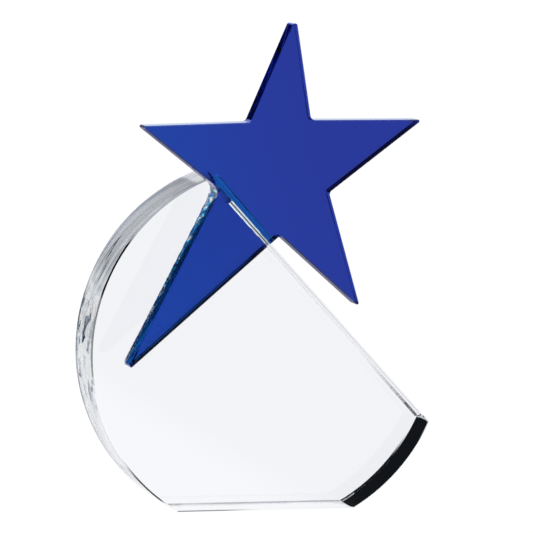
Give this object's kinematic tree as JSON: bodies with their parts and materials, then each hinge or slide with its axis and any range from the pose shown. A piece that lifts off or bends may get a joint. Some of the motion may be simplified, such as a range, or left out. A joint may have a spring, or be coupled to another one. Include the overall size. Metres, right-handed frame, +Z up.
{
  "type": "crystal award",
  "caption": "Freestanding crystal award: a clear truncated disc with a blue star whose long lower point is bonded across the disc's front face.",
  "frame": {"origin": "centre of the flat base the award stands on", "axes": "+Z up, -Y out of the front face that carries the star, +X to the right as seen from the front"},
  "size_m": [0.1456, 0.0333, 0.1993],
  "materials": {
    "clear_crystal": "polished, ground rim",
    "blue_crystal": "polished",
    "cured_adhesive": "clear, glossy"
  },
  "bodies": {
    "root": {"crystal_disc": "clear_crystal", "star_head": "blue_crystal", "star_tail": "blue_crystal", "seam_adhesive": "cured_adhesive", "bond_film": "cured_adhesive", "bond_bead": "cured_adhesive"}
  },
  "joints": []
}
